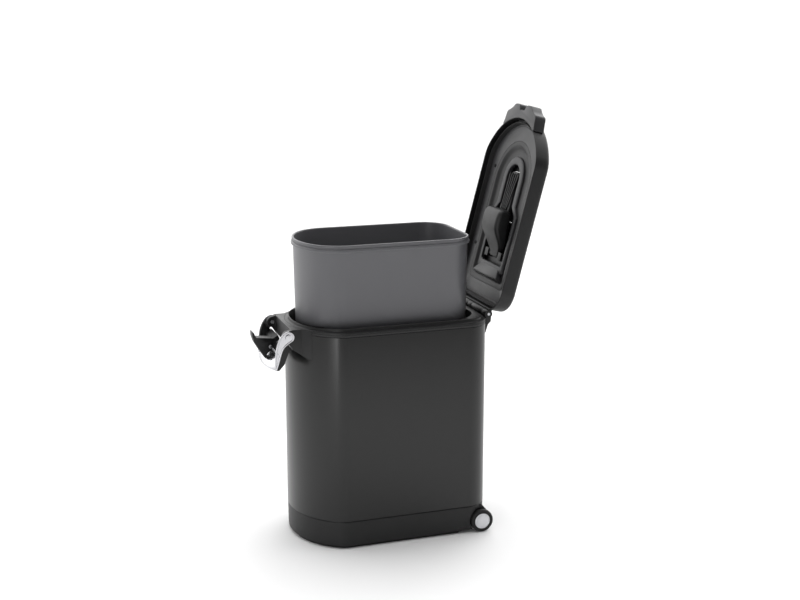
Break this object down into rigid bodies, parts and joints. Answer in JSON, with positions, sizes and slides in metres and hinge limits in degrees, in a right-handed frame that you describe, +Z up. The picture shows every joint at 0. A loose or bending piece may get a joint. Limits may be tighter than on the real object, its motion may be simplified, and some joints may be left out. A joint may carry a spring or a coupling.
{
  "type": "trash compactor bin",
  "caption": "Slim hand-operated trash compactor bin: lift-out bucket, hinged lid with a press arm, latching carry handle and rear wheels.",
  "frame": {"origin": "on the floor under the centre of the body's footprint", "axes": "+Z up, -Y towards the front with the handle and latch, +X towards the body's long flat right side"},
  "size_m": [0.2838, 0.644, 0.9254],
  "materials": {
    "black_steel": "satin",
    "matte_black_plastic": "matte",
    "grey_plastic": "matte",
    "graphite_plastic": "satin",
    "black_rubber": "matte",
    "satin_steel": "satin",
    "steel": "satin",
    "light_plastic": "satin"
  },
  "bodies": {
    "body": {"base_moulding": "matte_black_plastic", "base_pan": "matte_black_plastic", "foot_rail": "black_rubber", "outer_shell": "black_steel", "collar_ring": "matte_black_plastic", "seat_ring": "matte_black_plastic", "front_bracket": "matte_black_plastic", "handle_studs": "steel", "hinge_bracket": "matte_black_plastic", "hinge_pin": "steel", "wheel_axle": "steel", "fairing_left": "matte_black_plastic", "fairing_right": "matte_black_plastic", "base_screws": "steel"},
    "bucket": {"bucket": "graphite_plastic"},
    "lid": {"lid_cover": "matte_black_plastic", "lid_frame": "grey_plastic", "lid_seal": "black_rubber", "lid_panel": "grey_plastic", "keyhole_ring": "grey_plastic", "press_blocks": "matte_black_plastic", "hinge_leaf": "matte_black_plastic", "lid_screws": "black_steel", "press_pin": "black_steel"},
    "press_arm": {"press_arm": "grey_plastic", "press_grip": "matte_black_plastic", "press_spring": "black_steel"},
    "handle": {"handle_channel": "satin_steel", "handle_lining": "matte_black_plastic", "cap_left": "satin_steel", "cap_right": "satin_steel", "hook_pin": "steel"},
    "hook": {"latch_hook": "matte_black_plastic", "hook_spring": "steel"},
    "wheel_left": {"tyre_left": "black_rubber", "hub_left": "light_plastic", "hub_cap_left": "light_plastic"},
    "wheel_right": {"tyre_right": "black_rubber", "hub_right": "light_plastic", "hub_cap_right": "light_plastic"}
  },
  "joints": [
    {"name": "lid_hinge", "type": "hinge", "parent": "body", "child": "lid", "pos_m": [0, 0.21875, 0.4834], "axis": [1, 0, 0], "range_deg": [0, 104.8]},
    {"name": "bucket_lift", "type": "slide", "parent": "body", "child": "bucket", "axis": [0, 0, 1], "range_m": [-0.2202, 0.26]},
    {"name": "press_pivot", "type": "hinge", "parent": "lid", "child": "press_arm", "pos_m": [0, 0.27006, 0.59541], "axis": [1, 0, 0], "range_deg": [0, 35]},
    {"name": "handle_pivot", "type": "hinge", "parent": "body", "child": "handle", "pos_m": [0, -0.22455, 0.4645], "axis": [-1, 0, 0], "range_deg": [0, 100]},
    {"name": "hook_pivot", "type": "hinge", "parent": "handle", "child": "hook", "pos_m": [0, -0.24805, 0.4305], "axis": [1, 0, 0], "range_deg": [-35, 0]},
    {"name": "wheel_left_spin", "type": "hinge", "parent": "body", "child": "wheel_left", "pos_m": [-0.135, 0.19215, 0.0256], "axis": [1, 0, 0], "continuous": true},
    {"name": "wheel_right_spin", "type": "hinge", "parent": "body", "child": "wheel_right", "pos_m": [0.135, 0.19215, 0.0256], "axis": [1, 0, 0], "continuous": true}
  ],
  "couplings": [
    {"joint": "bucket_lift", "follows": "lid_hinge", "m_per_rad": -0.12033}
  ]
}
